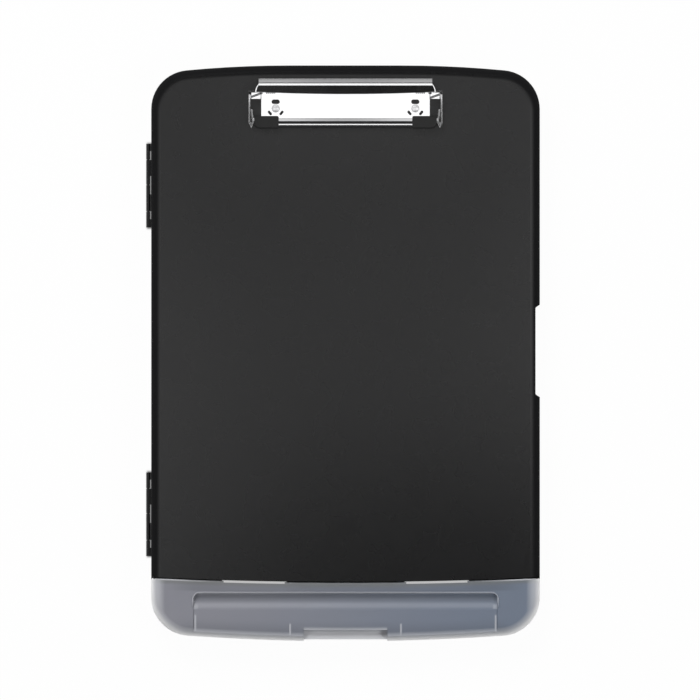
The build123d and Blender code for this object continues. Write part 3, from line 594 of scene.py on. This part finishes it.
def trough_gleam(x, y):
    """1 along the lower slope, and at the trough's two ends, where its wall stands."""
    aside = abs(x)
    slope = y.near(PANEL_TOP - 7.6 * MM, 0.5 * MM, 1.8 * MM) * aside.rise(PANEL_HALF, PANEL_HALF - 1.0 * MM)
    wall = y.near(PANEL_TOP - 8.3 * MM, 0.8 * MM, 1.2 * MM) * aside.near(PANEL_HALF - 1.6 * MM, 0.8 * MM, 1.2 * MM)
    return (slope * 0.3).most(wall)


print("panel's upper edge at", round(PANEL_TOP / MM, 1), "mm")

# %% [markdown]
# Along the seam the lid hangs over the black partition, and a strip there is painted a little darker and warmer,
# as painted shade. At the seam's ends a lip closes against the board, and it is pale.


# %% Frosted plastic
LEFT_TINT = (0.350, 0.350, 0.385)
RIGHT_TINT = (0.225, 0.270, 0.345)
CLOUDY_TINT = (0.27, 0.29, 0.39)
# Painted shade: the dark tint laid where the black tray lies below and on the trough's upper slope.
PAINTED_SHADE_TINT = (0.10, 0.11, 0.13)
# Painted shade: a darker, warmer strip along the seam, over the black partition.
SEAM_PAINTED_SHADE = (0.235, 0.240, 0.230)
THICK_TINT = (0.62, 0.63, 0.66)
# Painted light: near white, for the light that the outer edge and the tab catch from the paper.
PAPER_LIGHT_TINT = (0.95, 0.95, 0.96)
FROSTED_GRAIN = 0.7 * MM
FROSTED_IOR = 1.46
FROSTED_SPECULAR = 0.4


def frosted_body(paint, x, y):
    """The colour of the thin skin: violet to blue from left to right, painted darker where black lies close below,
    as painted shade.
    """
    body = tint(paint, x.rise(-body_half, body_half), LEFT_TINT, RIGHT_TINT)
    body = tint(paint, clouds(paint, 0.03) * 0.25, body, CLOUDY_TINT)
    seam = from_seam(x, y)
    # Painted shade of the black tray below, near the seam and towards the lower end.
    painted_tray_shade = seam.rise(7.5 * MM, 6.0 * MM).most(seam.rise(22 * MM, 32 * MM)) * 0.3
    painted_tray_shade = painted_tray_shade * abs(x).rise(112 * MM, 92 * MM)
    body = tint(paint, painted_tray_shade.most(trough_shade(x, y) * 0.42), body, PAINTED_SHADE_TINT)
    # A strip along the seam is painted darker and warmer, as painted shade.
    return tint(paint, seam.rise(4.0 * MM, 1.5 * MM) * 0.6, body, SEAM_PAINTED_SHADE)


def frosted_plastic():
    paint = new_material("frosted_plastic")
    x, y = paint.place()[:2]
    grain = relief(paint, clouds(paint, FROSTED_GRAIN, 3.0), GRAIN_DEPTH, EDGE_SOFTNESS)
    paint.fill(paint.surface.node, {
        "Base Color": frosted_body(paint, x, y),
        "Roughness": clouds(paint, 0.004, 3.0) * 0.08 + 0.42,
        "Transmission Weight": 0.35,
        "IOR": FROSTED_IOR,
        "Specular IOR Level": FROSTED_SPECULAR,
        "Normal": grain,
    })
    tab = pull_tab(x, y)
    # The thick shader's colour goes near white at the outline and on the tab: painted light from the paper.
    edge = from_outline(x, y).rise(3.5 * MM, 0.5 * MM) * (1.0 - tab) + tab * 0.3
    thick = paint.add("ShaderNodeBsdfPrincipled", None, {
        "Base Color": tint(paint, edge, THICK_TINT, PAPER_LIGHT_TINT),
        "Roughness": 0.5,
        "Specular IOR Level": FROSTED_SPECULAR,
        "Normal": grain,
    })[0]
    lip = from_seam(x, y).rise(1.1 * MM, 0.5 * MM) * abs(x).rise(76 * MM, 110 * MM)
    # The pale mix is thick plastic at the rim, ribs and lip, with painted light on the tab.
    pale = thick_rim(x, y).most(tab * 0.85).most(thick_ribs(x, y) * 0.5).most(lip * 0.7)
    # The bead's line and the trough's gleam are mixed in as a painted highlight and a painted gleam.
    pale = pale.most(bead(x, y) * 0.35).most(trough_gleam(x, y) * 0.3)
    paint.show(paint.mix(pale, paint.surface[0], thick))
    return paint.owner


finishes["frosted_plastic"] = frosted_plastic()
print("finishes:", sorted(finishes))

# %% [markdown]
# ## Plated steel
#
# The clip is plated steel: nearly a mirror, with the faint waves of rolled sheet, which run along the clip. A
# noise that is stretched along x gives the waves, and a relief of a few thousandths of a millimetre is enough
# to make a mirror's picture waver. The sheet's edges are rounded by tumbling, so a thin wall's top shows only a
# fine bright line.


# %% Plated steel
def plated_steel():
    paint = new_material("plated_steel")
    waves = clouds(paint, 0.004, 2.0, (0.08, 1.0, 1.0))
    paint.fill(paint.surface.node, {
        "Base Color": tint(paint, waves, (0.93, 0.93, 0.94), (0.96, 0.96, 0.97)),
        "Metallic": 1.0,
        "Roughness": clouds(paint, 0.008) * 0.04 + 0.04,
        "Normal": relief(paint, waves, 0.008 * MM, 0.28 * MM),
    })
    return paint.owner


finishes["plated_steel"] = plated_steel()
print("finishes:", sorted(finishes))

# %% [markdown]
# ## Duller steels
#
# The rod, the springs, the rivets and the hinge pins are drawn or turned steel. They differ in colour and in how
# sharply they mirror, so one function takes two colours to wander between and the least roughness. The rivets
# are tumbled to a white, half-dull skin, so theirs counts only in part as bare metal.


# %% Duller steels
def steel(name, darker, lighter, least_rough, metallic=1.0):
    paint = new_material(name)
    paint.fill(paint.surface.node, {
        "Base Color": tint(paint, clouds(paint, 0.003), darker, lighter),
        "Metallic": metallic,
        "Roughness": clouds(paint, 0.001) * 0.1 + least_rough,
    })
    return paint.owner


finishes["black_pin"] = steel("black_pin", (0.02, 0.02, 0.02), (0.05, 0.05, 0.05), 0.35)
finishes["steel_pin"] = steel("steel_pin", (0.50, 0.50, 0.52), (0.62, 0.62, 0.64), 0.25)
finishes["spring_steel"] = steel("spring_steel", (0.38, 0.38, 0.40), (0.50, 0.50, 0.52), 0.3)
finishes["rivet_steel"] = steel("rivet_steel", (0.85, 0.85, 0.87), (0.93, 0.93, 0.94), 0.25, 0.5)
print("finishes:", sorted(finishes))

# %% [markdown]
# ## Black rubber
#
# The grips over the clip's corners are soft black rubber. It mirrors less than the plastic does, and its skin is
# a little rougher.


# %% Black rubber
def black_rubber():
    paint = new_material("black_rubber")
    mottle = clouds(paint, 0.003)
    paint.fill(paint.surface.node, {
        "Base Color": tint(paint, mottle, (0.012, 0.012, 0.012), (0.020, 0.020, 0.020)),
        "Roughness": mottle * 0.1 + 0.55,
        "Specular IOR Level": 0.35,
        "Normal": relief(paint, clouds(paint, 0.0005, 3.0), 0.03 * MM, 0.3 * MM),
    })
    return paint.owner


finishes["black_rubber"] = black_rubber()
print("finishes:", sorted(finishes))

# %% [markdown]
# ## Dress the frame
#
# Each node of the construction model says which finish it has. Its mesh stays as it is, and only its material
# is exchanged.

# %% Dress the frame
for entry in frame["record"]["subparts"]:
    piece = frame["nodes"][entry["node"]]
    piece.data.materials.clear()
    piece.data.materials.append(finishes[entry["material_slot"]])

# %% [markdown]
# ## Finish
#
# The picture is shown as the light gives it, without a film curve. The size of the frame is printed near the top.

# %% Finish
bpy.context.scene.view_settings.view_transform = "Standard"
